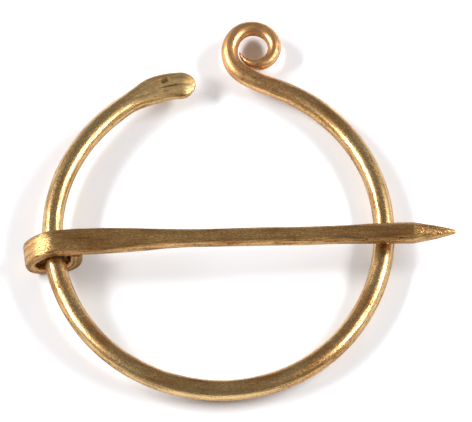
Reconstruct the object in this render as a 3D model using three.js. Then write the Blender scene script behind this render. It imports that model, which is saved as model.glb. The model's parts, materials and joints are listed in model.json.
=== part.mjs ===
// A penannular brooch in bronze: an open hoop of round rod and a pin that swings on it.
// One end of the hoop is hammered into a flat leaf, the other is drawn thin and rolled into an eye.
// The pin's head is hammered to a strap and wrapped once round the hoop; its point lies on the far side.
// The brooch lies loose on a table, on the strap under the hoop and on the hoop's far side.
// Millimetres, +Z up, with the origin on the table under the middle of the whole brooch.

import * as THREE from "three";

// Rod
const rodDiameter = 3.0;
const rodSides = 18;
const strapSides = 16;
const facetSag = 0.016; // how far a straight facet may leave its arc
const endFlat = 0.06; // share of the size at the small flat that closes a rounded end

// Hoop, as the arcs that it is bent to, on the rod's middle line.
// They run from the tip of the leaf down the left flank, along the foot and up the right flank.
const leafArc = { radius: 11.1, turn: 37.8 };
const leftFlankArc = { radius: 26.6, turn: 88.6 };
const leftFootArc = { radius: 23.2, turn: 61.5 };
const rightFootArc = { radius: 22.7, turn: 49.5 };
const rightFlankArc = { radius: 27.2, turn: 62.4 };
const shoulderArc = { radius: 24.1, turn: 49.8 };

// Eye, rolled outwards, against the bend of the hoop
const neckArc = { radius: 14.7, turn: -14 };
const eyeEntryArc = { radius: 4.51, turn: -92.3 };
const eyeArc = { radius: 3.1, turn: -130 };
const eyeEndArc = { radius: 2.94, turn: -170 };
const eyeEndDiameter = 1.45;
const eyeTaperLength = 34; // from the rod's end back to where it is full size
const eyeTaperFullness = 0.85; // 1 is a cone, less is rounder
const eyeWedgeLength = 4.2; // over which the end is flattened to lie home against the neck
const eyeWedgeTip = 0.15;

// Leaf, measured along the rod from its tip
const leafWidth = 4.1;
const leafThickness = 1.75;
const leafTipThickness = 1.2;
const leafRoundLength = 2.1; // over which the tip rounds off
const leafFlatEnd = 5.5;
const leafWaistWidth = 2.85;
const leafWaistAt = 10.5;
const leafLength = 14; // past it the rod is round
const leafSquareness = 3.2; // of its section: 2 is an ellipse, more is a rounded rectangle

// Pin, seen from above
const seatTurn = 83.5; // how far round the pin hangs, from the hoop's foot towards the left
const strapStraightLength = 1.5; // ahead of the rod's middle, before the shank bends aside
const shankBend = { radius: 40, turn: -4 };
const shankLength = 53.0; // from the bend to the point

// Pin, along its underside
const pointDiameter = 0.35;
const pointLength = 6;
const pointFullness = 0.72; // 1 is a cone, less is rounder
const shankDiameter = 3.0; // behind the point
const shankWaistDiameter = 2.55;
const shankWaistAt = 19;
const strapWidth = 3.6;
const strapThickness = 1.85;
const strapFlareLength = 14; // over which the shank becomes the strap
const shankSquareness = 2.3;
const strapSquareness = 6;

// Loop of the strap round the rod, along its inner face
const pinClearance = 0.3; // between the pin and the hoop
const loopStart = 0.45; // ahead of the rod's middle
const loopBackArc = { radius: 3.6, turn: 55 };
const loopBackThickness = 1.45;
const loopFootLength = 1.8;
const loopRiseArc = { radius: 1.8, turn: 90 };
const loopEndThickness = 1.95;
const loopEndLength = 2; // over which the strap thickens to its end
const loopEndGap = 0.15; // between the strap's end and the pin's underside

// Finishes
const hoopBronze = { color: 0xc79a56, roughness: 0.34, metalness: 1 };
const pinBronze = { color: 0xb98b4b, roughness: 0.4, metalness: 1 };

const rodRadius = rodDiameter / 2;
const mix = THREE.MathUtils.lerp;
const smooth = THREE.MathUtils.smoothstep;

// A plane path of arcs and straights, each starting where and how the last one ends.
// A leg is { radius, turn } with turn in degrees, positive to the left, or { length }.
function planePath(legs, startHeading) {
  const parts = [];
  let end = { point: new THREE.Vector2(), heading: startHeading };
  let length = 0;
  for (const leg of legs) {
    const turn = THREE.MathUtils.degToRad(leg.turn ?? 0);
    const own = leg.length ?? leg.radius * Math.abs(turn);
    parts.push({ from: length, length: own, turn, point: end.point, heading: end.heading });
    end = along(parts.at(-1), own);
    length += own;
  }
  const at = (distance) => {
    const part = parts.findLast((candidate) => candidate.from <= distance) ?? parts[0];
    return along(part, distance - part.from);
  };
  return { parts, length, at };
}

// The point, heading and leftward normal a distance along one part of a path.
function along(part, distance) {
  const bend = (part.turn * distance) / part.length;
  const chord = bend ? (distance * Math.sin(bend / 2)) / (bend / 2) : distance;
  const middle = part.heading + bend / 2;
  const heading = part.heading + bend;
  return {
    point: new THREE.Vector2(Math.cos(middle), Math.sin(middle)).multiplyScalar(chord).add(part.point),
    normal: new THREE.Vector2(-Math.sin(heading), Math.cos(heading)),
    heading,
  };
}

// Distances at which a path is cut into facets: by the sag of its arcs, and at the extra places.
function stopsOf(path, extra) {
  const stops = [...extra, path.length];
  for (const part of path.parts) {
    const radius = part.turn ? part.length / Math.abs(part.turn) : Infinity;
    const facet = part.turn ? 2 * radius * Math.acos(1 - facetSag / radius) : part.length;
    const count = Math.ceil(part.length / facet);
    for (let i = 0; i < count; i++) stops.push(part.from + (part.length * i) / count);
  }
  stops.sort((a, b) => a - b);
  const least = rodRadius / 10;
  return stops.filter((stop, i) => i === 0 || stop === path.length || extra.includes(stop)
    || stop - stops[i - 1] > least);
}

// The sine or cosine of a circle, turned into that of a rounded rectangle.
function squared(value, squareness) {
  return Math.sign(value) * Math.abs(value) ** (2 / squareness);
}

// A closed bar along a path. section(distance) gives its half sizes in the path's plane and across it,
// the shift of its middle in the plane, and its squareness.
function bar(path, stops, sides, section, place) {
  const rows = stops.length - 1;
  const geometry = new THREE.CylinderGeometry(1, 1, rows, sides, rows, false, Math.PI / sides);
  const position = geometry.getAttribute("position");
  for (let i = 0; i < position.count; i++) {
    const distance = stops[Math.round(rows / 2 - position.getY(i))];
    const { point, normal } = path.at(distance);
    const { inPlane, across, shift, squareness } = section(distance);
    const offset = shift + inPlane * squared(position.getX(i), squareness);
    const sideways = across * squared(position.getZ(i), squareness);
    position.setXYZ(i, ...place(point.x + normal.x * offset, point.y + normal.y * offset, sideways));
  }
  geometry.computeVertexNormals();
  return geometry;
}

// How full a bar is near a rounded end, from nearly 0 at the end to 1 at the depth of the rounding.
function roundedEnd(distance, depth) {
  const left = 1 - Math.min(distance / depth, 1);
  return Math.max(Math.sqrt(1 - left * left), endFlat);
}

// Places near a rounded end that follow its curve.
function endStops(depth, count) {
  return Array.from({ length: count }, (_, i) => depth * (1 - Math.cos((Math.PI / 2) * ((i + 0.5) / count))));
}

// Hoop
const leftLegs = [leafArc, leftFlankArc, leftFootArc];
const rightLegs = [rightFootArc, rightFlankArc, shoulderArc, neckArc, eyeEntryArc, eyeArc, eyeEndArc];
const leftTurn = leftLegs.reduce((sum, leg) => sum + leg.turn, 0);
const hoopPath = planePath([...leftLegs, ...rightLegs], -THREE.MathUtils.degToRad(leftTurn));

function hoopSection(distance) {
  const fromEye = hoopPath.length - distance;
  const taper = Math.min(fromEye / eyeTaperLength, 1) ** eyeTaperFullness;
  const drawn = mix(eyeEndDiameter, rodDiameter, taper) / rodDiameter;
  const wedge = mix(eyeWedgeTip / eyeEndDiameter, 1, Math.min(fromEye / eyeWedgeLength, 1));
  const tip = roundedEnd(distance, leafRoundLength);
  const waisted = mix(leafWidth, leafWaistWidth, smooth(distance, leafFlatEnd, leafWaistAt));
  const width = mix(waisted, rodDiameter, smooth(distance, leafWaistAt, leafLength));
  const blade = mix(leafTipThickness, leafThickness, smooth(distance, 0, leafRoundLength));
  const thickness = mix(blade, rodDiameter, smooth(distance, leafFlatEnd, leafLength));
  return {
    inPlane: (width / 2) * drawn * tip * wedge,
    across: (thickness / 2) * drawn * Math.sqrt(tip * wedge),
    shift: (width / 2) * drawn * (wedge - 1),
    squareness: mix(leafSquareness, 2, smooth(distance, leafFlatEnd, leafLength)),
  };
}

const leafStops = [leafRoundLength, leafFlatEnd, leafWaistAt, leafLength, (leafFlatEnd + leafWaistAt) / 2];
const hoopStops = stopsOf(hoopPath, [
  ...endStops(leafRoundLength, 6),
  ...leafStops,
]);
const hoop = new THREE.Mesh(
  bar(hoopPath, hoopStops, rodSides, hoopSection, (x, y, sideways) => [x, y, sideways]),
  new THREE.MeshStandardMaterial(hoopBronze),
);
hoop.name = "hoop";

// The place on the hoop where the pin hangs.
const seatPast = seatTurn - leftFootArc.turn;
const seatFrom = hoopPath.parts[leftLegs.length - 1].from;
const seat = hoopPath.at(seatFrom - leftFlankArc.radius * THREE.MathUtils.degToRad(seatPast));

// Pin, in the upright plane through its loop, with x from the point and y up from the rod's top.
// Its path is the face that lies on the rod, from the point round to the strap's end.
const underside = rodRadius + pinClearance;
const bendLength = shankBend.radius * THREE.MathUtils.degToRad(Math.abs(shankBend.turn));
const pinReach = strapStraightLength + bendLength + shankLength;
const loopBackTurn = THREE.MathUtils.degToRad(loopBackArc.turn);
const loopBackDrop = loopBackArc.radius * (1 - Math.cos(loopBackTurn));
const loopUnderArc = {
  radius: (2 * underside - loopBackDrop) / (1 + Math.cos(loopBackTurn)),
  turn: 180 - loopBackArc.turn,
};
const pinPath = planePath([
  { length: pinReach - loopStart },
  loopBackArc,
  loopUnderArc,
  { length: loopFootLength },
  loopRiseArc,
  { length: 2 * underside - loopRiseArc.radius - loopEndGap },
], Math.PI);
const [, backPart, underPart, , risePart] = pinPath.parts;
const strapFrom = pinReach - strapStraightLength - strapWidth;

// Loop thickness: full over the rod, thinned round the back and the foot, thick again at its end.
function strapThicknessAt(distance) {
  const back = mix(strapThickness, loopBackThickness, smooth(distance, backPart.from, underPart.from));
  return mix(back, loopEndThickness, smooth(distance, risePart.from, risePart.from + loopEndLength));
}

function pinSection(distance) {
  const point = mix(pointDiameter, shankDiameter, Math.min(distance / pointLength, 1) ** pointFullness);
  const waist = mix(shankDiameter, shankWaistDiameter, smooth(distance, pointLength, shankWaistAt));
  const shank = Math.min(point, waist);
  const flare = smooth(distance, strapFrom - strapFlareLength, strapFrom);
  const strap = strapThicknessAt(distance);
  return {
    inPlane: mix(shank, strap, flare) / 2,
    across: mix(shank, strapWidth, flare) / 2,
    shift: -mix(waist, strap, flare) / 2,
    squareness: mix(shankSquareness, strapSquareness, flare),
  };
}

// Seen from above, the shank bends aside just ahead of the loop.
const plan = planePath([{ length: strapStraightLength }, shankBend, { length: shankLength }], 0);

function placeOnPin(x, y, sideways) {
  const { point, normal } = plan.at(x + pinReach);
  return [point.x - normal.x * sideways, point.y - normal.y * sideways, y + underside];
}

const pointStops = Array.from({ length: 6 }, (_, i) => pointLength * ((i + 1) / 6) ** 1.4);
const shankStops = Array.from({ length: 22 }, (_, i) => mix(pointLength, backPart.from, (i + 1) / 23));
const pin = new THREE.Mesh(
  bar(pinPath, stopsOf(pinPath, [...pointStops, ...shankStops]), strapSides, pinSection, placeOnPin),
  new THREE.MeshStandardMaterial(pinBronze),
);
pin.name = "pin";
pin.position.set(seat.point.x, seat.point.y, 0);
pin.rotation.z = seat.heading + Math.PI / 2;

// Lying pose: the strap under the rod lifts that side of the hoop.
const flat = new THREE.Group();
flat.add(hoop, pin);
const hoopBox = new THREE.Box3().setFromObject(hoop);
const strapDepth = underside + loopBackThickness;
const lift = strapDepth - rodRadius;
flat.rotation.y = Math.asin(lift / (hoopBox.max.x - rodRadius - seat.point.x));

const brooch = new THREE.Group();
brooch.add(flat);
const box = new THREE.Box3().setFromObject(brooch, true);
const centre = box.getCenter(new THREE.Vector3());
brooch.position.set(-centre.x, -centre.y, -box.min.z);

export default brooch;
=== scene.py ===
# A penannular brooch in bronze, lying on a white table under two side softboxes.
# The hoop and the pin are built again on the frame's own lines, finely enough to carry their surface.
import json
import math

import bpy
import numpy as np
from mathutils import Matrix, Vector


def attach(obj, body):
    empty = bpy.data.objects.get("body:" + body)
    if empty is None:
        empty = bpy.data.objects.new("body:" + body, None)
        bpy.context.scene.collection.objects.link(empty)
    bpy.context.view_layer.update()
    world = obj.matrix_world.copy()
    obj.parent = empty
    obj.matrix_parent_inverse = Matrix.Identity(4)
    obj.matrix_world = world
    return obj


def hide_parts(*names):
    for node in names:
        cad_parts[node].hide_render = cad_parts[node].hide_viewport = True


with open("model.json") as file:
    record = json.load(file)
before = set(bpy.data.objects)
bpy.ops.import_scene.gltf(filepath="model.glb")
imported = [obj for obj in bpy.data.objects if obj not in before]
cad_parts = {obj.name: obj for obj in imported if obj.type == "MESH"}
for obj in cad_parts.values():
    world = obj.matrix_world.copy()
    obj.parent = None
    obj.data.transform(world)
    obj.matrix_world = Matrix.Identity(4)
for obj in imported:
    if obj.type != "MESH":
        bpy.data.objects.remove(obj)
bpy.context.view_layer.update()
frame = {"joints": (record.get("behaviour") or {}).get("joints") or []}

MM = 0.001

# Rod and hoop, in millimetres and degrees, as the frame has them. An arc is its radius and turn.
ROD = 3.0
LEFT_ARCS = [(11.1, 37.8), (26.6, 88.6), (23.2, 61.5)]
RIGHT_ARCS = [(22.7, 49.5), (27.2, 62.4), (24.1, 49.8)]
EYE_ARCS = [(14.7, -14), (4.51, -92.3), (3.1, -130), (2.94, -170)]
EYE_END, EYE_TAPER, EYE_FULLNESS = 1.45, 34, 0.85
EYE_WEDGE, EYE_WEDGE_TIP = 4.2, 0.15
LEAF_WIDTH, LEAF_THICKNESS, LEAF_TIP = 4.1, 1.75, 1.2
LEAF_ROUND, LEAF_FLAT_END = 2.1, 5.5
LEAF_WAIST, LEAF_WAIST_AT, LEAF_LENGTH = 2.85, 10.5, 14
LEAF_SQUARENESS = 3.2

# Pin, as the frame has it
SEAT_TURN = 83.5
STRAP_STRAIGHT = 1.5
SHANK_BEND = (40, -4)
SHANK_LENGTH = 53.0
POINT_DIAMETER, POINT_LENGTH, POINT_FULLNESS = 0.35, 6, 0.72
SHANK, SHANK_WAIST, SHANK_WAIST_AT = 3.0, 2.55, 19
STRAP_WIDTH, STRAP_THICKNESS, STRAP_FLARE = 3.6, 1.85, 14
SHANK_SQUARENESS, STRAP_SQUARENESS = 2.3, 6
CLEARANCE = 0.3
LOOP_START, LOOP_BACK, LOOP_BACK_THICKNESS = 0.45, (3.6, 55), 1.45
LOOP_FOOT, LOOP_RISE = 1.8, (1.8, 90)
LOOP_END_THICKNESS, LOOP_END_LENGTH, LOOP_END_GAP = 1.95, 2, 0.15
LOOP_END_ROUND, LOOP_END_WORN = 0.3, 0.8
END_FLAT = 0.06

# Marks of use on the leaf's face: along the rod from the tip, across it, length, width, turn, depth
LEAF_MARKS = {
    "square pit": (4.3, -0.75, 1.15, 0.8, 12, 0.12),
    "groove": (3.0, 0.15, 4.2, 0.34, 3, 0.10),
    "lower pit": (4.6, 0.85, 1.1, 0.36, -10, 0.09),
    "scratch": (8.0, 0.4, 3.0, 0.22, -8, 0.06),
}

# Where the heat for rolling the eye sets in and is full, along the rod from the leaf's tip, and its tone
HEATED = (134, 150)
HEATED_TONE = "E3AE76"

# Facets of the fine meshes, and how far their rows crowd towards both ends
SIDES = 64
STEP = 0.125
CROWDING = 0.015

# Photo's view, from the front: pixels to a metre, pixels across, and the point in the picture's middle
CAMERA_ELEVATION = math.radians(61.5)
CAMERA_DISTANCE = 2.4
PHOTO_SCALE = 7.0 / MM
PHOTO_WIDTH = 472
AIM = Vector((-0.48, -0.16, 2.25)) * MM

# Table and light, in metres, degrees and watts. Each softbox has its azimuth and power.
TABLE_HALF = 3.0
SOFTBOX_SIZE = (0.70, 0.17)
SOFTBOX_DISTANCE = 0.9
SOFTBOX_ELEVATION = 34
SOFTBOXES = {"left softbox": (171, 11), "right softbox": (9, 10)}
SKY_STRENGTH = 0.23


def srgb(code):
    """A hex colour as the linear values that a shader takes."""
    parts = [int(code[i:i + 2], 16) / 255 for i in (0, 2, 4)]
    linear = [p / 12.92 if p <= 0.04045 else ((p + 0.055) / 1.055) ** 2.4 for p in parts]
    return (*linear, 1)


def mix(a, b, share):
    return a + (b - a) * share


def smooth(value, low, high):
    share = min(max((value - low) / (high - low), 0), 1)
    return share * share * (3 - 2 * share)


def path_of(legs, heading):
    """A plane path of tangent legs: (radius, turn) is an arc, a single number is a straight."""
    parts, point, start = [], Vector((0, 0)), 0
    for leg in legs:
        straight = isinstance(leg, (int, float))
        turn = 0 if straight else math.radians(leg[1])
        length = leg if straight else leg[0] * abs(turn)
        parts.append((start, length, turn, point, heading))
        point, heading = along(parts[-1], length)
        start += length
    return parts, start


def along(part, distance):
    """The point and heading a distance along one part of a path."""
    _, length, turn, point, heading = part
    bend = turn * distance / length
    chord = distance * math.sin(bend / 2) / (bend / 2) if bend else distance
    middle = heading + bend / 2
    return point + Vector((math.cos(middle), math.sin(middle))) * chord, heading + bend


def at(parts, distance):
    """The point, leftward normal and heading a distance along a whole path."""
    part = next((p for p in reversed(parts) if p[0] <= distance), parts[0])
    point, heading = along(part, distance - part[0])
    return point, Vector((-math.sin(heading), math.cos(heading))), heading


def rounded_end(distance, depth):
    left = 1 - min(distance / depth, 1)
    return max(math.sqrt(1 - left * left), END_FLAT)


def rounded_rectangle(angle, squareness):
    """Points at even angles round a rounded rectangle of half sizes 1, where squareness 2 is a circle."""
    cosine, sine = np.cos(angle), np.sin(angle)
    reach = (np.abs(cosine) ** squareness + np.abs(sine) ** squareness) ** (-1 / squareness)
    return cosine * reach, sine * reach


# Hoop's own lines
left_turn = math.radians(sum(turn for _, turn in LEFT_ARCS))
hoop_parts, hoop_length = path_of(LEFT_ARCS + RIGHT_ARCS + EYE_ARCS, -left_turn)
seat_past = math.radians(SEAT_TURN - LEFT_ARCS[2][1])
seat_point, _, seat_heading = at(hoop_parts, hoop_parts[2][0] - LEFT_ARCS[1][0] * seat_past)


def hoop_section(distance):
    """Half width, half thickness, shift and squareness of the hoop's rod."""
    from_eye = hoop_length - distance
    taper = min(from_eye / EYE_TAPER, 1) ** EYE_FULLNESS
    drawn = mix(EYE_END, ROD, taper) / ROD
    wedge = mix(EYE_WEDGE_TIP / EYE_END, 1, min(from_eye / EYE_WEDGE, 1))
    tip = rounded_end(distance, LEAF_ROUND)
    waisted = mix(LEAF_WIDTH, LEAF_WAIST, smooth(distance, LEAF_FLAT_END, LEAF_WAIST_AT))
    width = mix(waisted, ROD, smooth(distance, LEAF_WAIST_AT, LEAF_LENGTH))
    blade = mix(LEAF_TIP, LEAF_THICKNESS, smooth(distance, 0, LEAF_ROUND))
    thickness = mix(blade, ROD, smooth(distance, LEAF_FLAT_END, LEAF_LENGTH))
    squareness = mix(LEAF_SQUARENESS, 2, smooth(distance, LEAF_FLAT_END, LEAF_LENGTH))
    half = width / 2 * drawn
    across = thickness / 2 * drawn * math.sqrt(tip * wedge)
    return half * tip * wedge, across, half * (wedge - 1), squareness


# Pin's own lines, from its point along its underside and round the loop
underside = ROD / 2 + CLEARANCE
pin_reach = STRAP_STRAIGHT + SHANK_BEND[0] * math.radians(-SHANK_BEND[1]) + SHANK_LENGTH
back_turn = math.radians(LOOP_BACK[1])
back_drop = LOOP_BACK[0] * (1 - math.cos(back_turn))
under_arc = ((2 * underside - back_drop) / (1 + math.cos(back_turn)), 180 - LOOP_BACK[1])
loop_end = 2 * underside - LOOP_RISE[0] - LOOP_END_GAP
pin_parts, pin_length = path_of(
    [pin_reach - LOOP_START, LOOP_BACK, under_arc, LOOP_FOOT, LOOP_RISE, loop_end], math.pi)
strap_from = pin_reach - STRAP_STRAIGHT - STRAP_WIDTH
plan_parts, _ = path_of([STRAP_STRAIGHT, SHANK_BEND, SHANK_LENGTH], 0)


def strap_thickness(distance):
    back = mix(STRAP_THICKNESS, LOOP_BACK_THICKNESS, smooth(distance, pin_parts[1][0], pin_parts[2][0]))
    rise = pin_parts[4][0]
    return mix(back, LOOP_END_THICKNESS, smooth(distance, rise, rise + LOOP_END_LENGTH))


def pin_section(distance):
    """Half thickness, half width, shift and squareness of the pin."""
    point = mix(POINT_DIAMETER, SHANK, min(distance / POINT_LENGTH, 1) ** POINT_FULLNESS)
    waist = mix(SHANK, SHANK_WAIST, smooth(distance, POINT_LENGTH, SHANK_WAIST_AT))
    shank = min(point, waist)
    flare = smooth(distance, strap_from - STRAP_FLARE, strap_from)
    strap = strap_thickness(distance)
    worn = mix(LOOP_END_WORN, 1, rounded_end(pin_length - distance, LOOP_END_ROUND))
    return (mix(shank, strap, flare) / 2 * worn, mix(shank, STRAP_WIDTH, flare) / 2 * worn,
            -mix(waist, strap, flare) / 2, mix(SHANK_SQUARENESS, STRAP_SQUARENESS, flare))


def place_on_hoop(x, y, sideways):
    """The hoop's path lies flat, so sideways of it is up."""
    return x, y, sideways


def place_on_pin(across, rise, sideways):
    """The pin's path stands upright on the line that the pin follows in plan."""
    point, normal, _ = at(plan_parts, across + pin_reach)
    return point.x - normal.x * sideways, point.y - normal.y * sideways, rise + underside


def bar_faces(rows):
    """Four-sided faces between the rows of points, and a cap at each end."""
    faces = []
    for row in range(rows):
        low, high = row * SIDES, (row + 1) * SIDES
        for side in range(SIDES):
            after = (side + 1) % SIDES
            faces.append((low + side, low + after, high + after, high + side))
    faces.append(tuple(reversed(range(SIDES))))
    faces.append(tuple(range(rows * SIDES, (rows + 1) * SIDES)))
    return faces


def store(mesh, name, kind, key, values):
    """Keeps a value for each point of a mesh under a name that the trees can read."""
    kept = mesh.attributes.new(name, kind, "POINT")
    kept.data.foreach_set(key, np.array(values, dtype=np.float32).ravel())


def add_object(name, data):
    added = bpy.data.objects.new(name, data)
    bpy.context.collection.objects.link(added)
    return added


def bar(name, parts, length, section, place, marks):
    """A closed fine bar along a path. Each point keeps its place across and along the rod as grain,
    and the depth of a mark of use there as marked."""
    rows = int(length / STEP)
    even = np.linspace(0, 1, rows + 1)
    crowded = 0.5 - 0.5 * np.cos(np.pi * even)
    stops = length * ((1 - CROWDING) * even + CROWDING * crowded)
    angle = (np.arange(SIDES) + 0.5) * 2 * np.pi / SIDES
    points, grain, marked = [], [], []
    for distance in stops:
        middle, normal, _ = at(parts, distance)
        in_plane, across, shift, squareness = section(distance)
        outline = rounded_rectangle(angle, squareness)
        offset = shift + in_plane * outline[0]
        sideways = across * outline[1]
        sunk = marks(distance, offset) * (sideways > 0)
        for o, s in zip(offset, sideways - sunk):
            points.append(place(middle.x + normal.x * o, middle.y + normal.y * o, s))
            grain.append((o, s, distance))
        marked.extend(sunk)
    mesh = bpy.data.meshes.new(name)
    mesh.from_pydata(points, [], bar_faces(rows))
    store(mesh, "grain", "FLOAT_VECTOR", "vector", grain)
    store(mesh, "marked", "FLOAT", "value", marked)
    return add_object(name, mesh)


def leaf_marks(distance, offset):
    """How deep the marks of use are sunk into the leaf's upper face, with steep sides."""
    sunk = np.zeros_like(offset)
    if distance > LEAF_LENGTH:
        return sunk
    for from_tip, aside, length, width, turn, depth in LEAF_MARKS.values():
        cosine, sine = math.cos(math.radians(turn)), math.sin(math.radians(turn))
        x, y = distance - from_tip, offset - aside
        u = (x * cosine + y * sine) / (length / 2)
        v = (y * cosine - x * sine) / (width / 2)
        sunk += depth * np.exp(-(u ** 6)) * np.exp(-(v ** 4))
    return sunk


def no_marks(distance, offset):
    return np.zeros_like(offset)


class Tree:
    """Adds nodes to one tree, for geometry or shading, with their settings and links."""

    def __init__(self, tree):
        self.tree = tree

    def add(self, kind, inputs=None, **settings):
        node = self.tree.nodes.new(kind)
        for key, value in settings.items():
            setattr(node, key, value)
        for key, value in (inputs or {}).items():
            socket = node.inputs[key]
            if isinstance(value, bpy.types.NodeSocket):
                self.tree.links.new(value, socket)
            else:
                socket.default_value = value
        return node

    def math(self, operation, first, second=0.0):
        return self.add("ShaderNodeMath", {0: first, 1: second}, operation=operation).outputs[0]


def worked_surface_tree():
    """Hammered swells, drawn or filed lines and pits, all placed along and across the rod."""
    tree = bpy.data.node_groups.new("worked bronze surface", "GeometryNodeTree")
    sockets = tree.interface
    sockets.new_socket("Geometry", in_out="INPUT", socket_type="NodeSocketGeometry")
    for name in ("Swell depth", "Swell size", "Line depth", "Line width", "Pit depth", "Pit size", "Seed"):
        sockets.new_socket(name, in_out="INPUT", socket_type="NodeSocketFloat")
    sockets.new_socket("Finish", in_out="INPUT", socket_type="NodeSocketMaterial")
    sockets.new_socket("Geometry", in_out="OUTPUT", socket_type="NodeSocketGeometry")
    build = Tree(tree)
    given = build.add("NodeGroupInput").outputs
    grain = build.add("GeometryNodeInputNamedAttribute", {"Name": "grain"}, data_type="FLOAT_VECTOR")
    place = grain.outputs["Attribute"]
    pits_above, pit_darkness = 0.28, 3.0

    def field(size, stretch, detail):
        """Noise in -1 to 1, drawn out along the rod by stretch. Its size is an input in millimetres."""
        scaled = build.add("ShaderNodeVectorMath", {0: place, 1: (1, 1, 1 / stretch)}, operation="MULTIPLY")
        scale = build.math("DIVIDE", 1.0, given[size])
        noise = build.add("ShaderNodeTexNoise", {
            "Vector": scaled.outputs[0], "W": given["Seed"], "Scale": scale, "Detail": detail},
            noise_dimensions="4D")
        return build.math("MULTIPLY", build.math("SUBTRACT", noise.outputs[0], 0.5), 2.0)

    swells = field("Swell size", stretch=2.2, detail=1.0)
    lines = field("Line width", stretch=14, detail=2.0)
    spots = field("Pit size", stretch=1.6, detail=1.0)
    swell = build.math("MULTIPLY", swells, given["Swell depth"])
    line = build.math("MULTIPLY", lines, given["Line depth"])
    pit = build.math("MAXIMUM", build.math("SUBTRACT", spots, pits_above), 0.0)
    sunk = build.math("MULTIPLY", pit, given["Pit depth"])
    height = build.math("SUBTRACT", build.math("ADD", swell, line), sunk)
    normal = build.add("GeometryNodeInputNormal").outputs["Normal"]
    metres = build.math("MULTIPLY", height, MM)
    push = build.add("ShaderNodeVectorMath", {0: normal, "Scale": metres}, operation="SCALE").outputs[0]
    hollow = build.math("MULTIPLY", pit, pit_darkness)
    kept = build.add("GeometryNodeStoreNamedAttribute", {
        "Geometry": given["Geometry"], "Name": "hollow", "Value": hollow},
        data_type="FLOAT", domain="POINT")
    moved = build.add("GeometryNodeSetPosition", {"Geometry": kept.outputs[0], "Offset": push})
    real = build.add("GeometryNodeRealizeInstances", {"Geometry": moved.outputs[0]})
    finished = build.add("GeometryNodeSetMaterial", {
        "Geometry": real.outputs[0], "Material": given["Finish"]})
    build.add("NodeGroupOutput", {"Geometry": finished.outputs[0]})
    return tree


def work_surface(piece, tree, finish, sizes):
    """Runs the surface tree on a piece and keeps the result as its plain mesh."""
    sharp_edge = math.radians(50)
    modifier = piece.modifiers.new("surface", "NODES")
    modifier.node_group = tree
    values = {**sizes, "Finish": finish}
    for item in tree.interface.items_tree:
        if item.in_out == "INPUT" and item.name in values:
            modifier[item.identifier] = values[item.name]
    graph = bpy.context.evaluated_depsgraph_get()
    mesh = bpy.data.meshes.new_from_object(piece.evaluated_get(graph), depsgraph=graph)
    piece.modifiers.clear()
    piece.data = mesh
    mesh.polygons.foreach_set("use_smooth", [True] * len(mesh.polygons))
    mesh.set_sharp_from_angle(angle=sharp_edge)


def bronze(name, metal, bright, tarnish, roughness, line_width, line_depth, seed, dull_length):
    """Bronze: a yellow-brown metal, brighter in worn patches, with tarnish in specks, streaks and hollows.
    It is duller over the first stretch of its bar, and duller and redder where it was heated."""
    material = bpy.data.materials.new(name)
    material.use_nodes = True
    build = Tree(material.node_tree)
    material.node_tree.nodes.clear()
    grain = build.add("ShaderNodeAttribute", attribute_name="grain").outputs["Vector"]
    hollow = build.add("ShaderNodeAttribute", attribute_name="hollow").outputs["Fac"]
    marked = build.add("ShaderNodeAttribute", attribute_name="marked").outputs["Fac"]
    start_dullness, heated_dullness = 0.45, 0.25
    mark_darkness, most_brown, roughness_range = 6.0, 0.85, 0.34

    def noise(size, stretch, detail, shift):
        """Noise of a size in millimetres, drawn out along the rod; shift keeps two of them apart."""
        placed = build.add("ShaderNodeMapping", {
            "Vector": grain, "Location": (shift, seed, 0), "Scale": (1, 1, 1 / stretch)})
        return build.add("ShaderNodeTexNoise", {
            "Vector": placed.outputs[0], "Scale": 1 / size, "Detail": detail}).outputs[0]

    def band(value, low, high, to_low=0.0, to_high=1.0):
        return build.add("ShaderNodeMapRange", {
            "Value": value, "From Min": low, "From Max": high,
            "To Min": to_low, "To Max": to_high}).outputs[0]

    def blend(share, first, second):
        return build.add("ShaderNodeMix", {"Factor": share, "A": first, "B": second},
                         data_type="RGBA").outputs["Result"]

    along_bar = build.add("ShaderNodeSeparateXYZ", {"Vector": grain}).outputs["Z"]
    heated = band(along_bar, *HEATED)
    started = band(along_bar, dull_length, dull_length * 0.4)
    dull_start = build.math("MULTIPLY", started, start_dullness)
    dull = build.math("ADD", dull_start, build.math("MULTIPLY", heated, heated_dullness))
    lines = noise(line_width, stretch=22, detail=4, shift=0)
    blotch = band(noise(2.4, stretch=2.5, detail=5, shift=11), 0.42, 0.68)
    speck = band(noise(0.17, stretch=1.6, detail=2, shift=23), 0.45, 0.66)
    streak = band(noise(0.30, stretch=18, detail=4, shift=37), 0.48, 0.66)
    grit = noise(0.22, stretch=3, detail=4, shift=51)
    patchy = build.math("MULTIPLY", speck, build.math("ADD", build.math("MULTIPLY", blotch, 0.4), 0.2))
    stained = build.math("ADD", patchy, build.math("MULTIPLY", streak, 0.55))
    dirt = build.math("ADD", hollow, build.math("MULTIPLY", marked, mark_darkness))
    brown = build.math("MINIMUM", build.math("ADD", stained, dirt), most_brown)
    worn = blend(blotch, srgb(bright), srgb(metal))
    reddened = blend(heated, worn, srgb(HEATED_TONE))
    colour = blend(brown, reddened, srgb(tarnish))
    clouded = build.math("ADD", build.math("MULTIPLY", speck, 0.4), brown)
    rough = band(build.math("ADD", clouded, dull), 0.1, 1.0, roughness, roughness + roughness_range)
    relief = build.math("ADD", lines, build.math("MULTIPLY", grit, 0.5))
    bump = build.add("ShaderNodeBump", {
        "Height": relief, "Strength": 1.0, "Distance": line_depth * MM})
    shader = build.add("ShaderNodeBsdfPrincipled", {
        "Base Color": colour, "Metallic": 1.0, "Roughness": rough, "Normal": bump.outputs[0]})
    build.add("ShaderNodeOutputMaterial", {"Surface": shader.outputs[0]})
    return material


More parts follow.
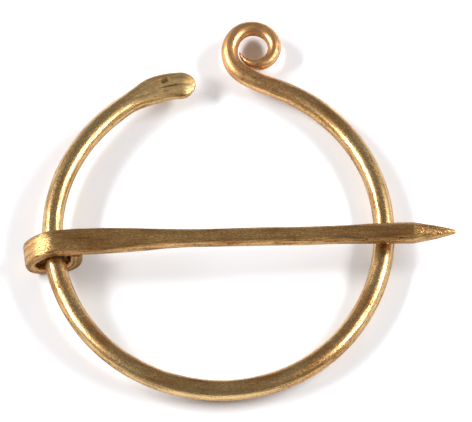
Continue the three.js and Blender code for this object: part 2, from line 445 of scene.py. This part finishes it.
def lay(piece, matrix):
    """Puts the place into the mesh, in metres, so that the object stays at the origin."""
    piece.data.transform(matrix @ Matrix.Scale(MM, 4))
    piece.data.update()


def make_table():
    mesh = bpy.data.meshes.new("table")
    corners = [(x * TABLE_HALF, y * TABLE_HALF, 0) for x, y in ((-1, -1), (1, -1), (1, 1), (-1, 1))]
    mesh.from_pydata(corners, [], [(0, 1, 2, 3)])
    table = add_object("table", mesh)
    paper = bpy.data.materials.new("matt white paper")
    paper.use_nodes = True
    shader = paper.node_tree.nodes["Principled BSDF"]
    shader.inputs["Base Color"].default_value = srgb("F4F4F6")
    shader.inputs["Roughness"].default_value = 0.9
    shader.inputs["Specular IOR Level"].default_value = 0.1
    mesh.materials.append(paper)


def make_camera():
    """A distant camera with a long lens, which gives next to no perspective."""
    data = bpy.data.cameras.new("camera")
    data.sensor_fit = "HORIZONTAL"
    data.lens = data.sensor_width * CAMERA_DISTANCE * PHOTO_SCALE / PHOTO_WIDTH
    data.clip_start = 0.01
    camera = add_object("camera", data)
    back = Vector((0, -math.cos(CAMERA_ELEVATION), math.sin(CAMERA_ELEVATION)))
    camera.location = AIM + back * CAMERA_DISTANCE
    camera.rotation_euler = (math.pi / 2 - CAMERA_ELEVATION, 0, 0)
    bpy.context.scene.camera = camera


def make_softbox(name, azimuth, power):
    """A wide, low softbox that faces the brooch; azimuth runs from +X towards +Y."""
    data = bpy.data.lights.new(name, "AREA")
    data.shape = "RECTANGLE"
    data.size, data.size_y = SOFTBOX_SIZE
    data.energy = power
    light = add_object(name, data)
    azimuth, elevation = math.radians(azimuth), math.radians(SOFTBOX_ELEVATION)
    way = Vector((math.cos(azimuth) * math.cos(elevation), math.sin(azimuth) * math.cos(elevation),
                  math.sin(elevation)))
    light.location = way * SOFTBOX_DISTANCE
    light.rotation_euler = way.to_track_quat("Z", "Y").to_euler()


def make_light():
    for name, (azimuth, power) in SOFTBOXES.items():
        make_softbox(name, azimuth, power)
    world = bpy.data.worlds.new("room")
    bpy.context.scene.world = world
    world.use_nodes = True
    sky = world.node_tree.nodes["Background"]
    sky.inputs["Color"].default_value = srgb("FFFFFF")
    sky.inputs["Strength"].default_value = SKY_STRENGTH
    bpy.context.scene.view_settings.view_transform = "Standard"


make_camera()
make_light()
make_table()

hoop_bronze = bronze("drawn bronze rod", metal="CE995F", bright="DAB67F", tarnish="442D16",
                     roughness=0.22, line_width=0.12, line_depth=0.02, seed=3, dull_length=LEAF_LENGTH)
pin_bronze = bronze("filed bronze", metal="B4834E", bright="CFA46B", tarnish="3A2612",
                    roughness=0.27, line_width=0.14, line_depth=0.08, seed=8, dull_length=1)
surface = worked_surface_tree()

hoop = bar("hoop_fine", hoop_parts, hoop_length, hoop_section, place_on_hoop, leaf_marks)
pin = bar("pin_fine", pin_parts, pin_length, pin_section, place_on_pin, no_marks)

# Lying pose, from the same sizes as the frame's and the place of its hinge
joint = frame["joints"][0]
hinge = Vector(joint["pos_m"])
hoop_east = max(vertex.co.x for vertex in hoop.data.vertices)
lift = underside + LOOP_BACK_THICKNESS - ROD / 2
pitch = Matrix.Rotation(math.asin(lift / (hoop_east - ROD / 2 - seat_point.x)), 4, "Y")
seat = Matrix.Translation((seat_point.x * MM, seat_point.y * MM, 0))
lay(hoop, Matrix.Translation(hinge) @ pitch @ seat.inverted())
lay(pin, Matrix.Translation(hinge) @ pitch @ Matrix.Rotation(seat_heading + math.pi / 2, 4, "Z"))

work_surface(hoop, surface, hoop_bronze, {
    "Swell depth": 0.03, "Swell size": 3.2, "Line depth": 0.008, "Line width": 0.4,
    "Pit depth": 0.03, "Pit size": 0.4, "Seed": 2.0})
work_surface(pin, surface, pin_bronze, {
    "Swell depth": 0.10, "Swell size": 2.6, "Line depth": 0.02, "Line width": 0.45,
    "Pit depth": 0.03, "Pit size": 0.35, "Seed": 7.0})

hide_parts("hoop")
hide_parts("pin")
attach(hoop, "hoop")
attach(pin, "pin")
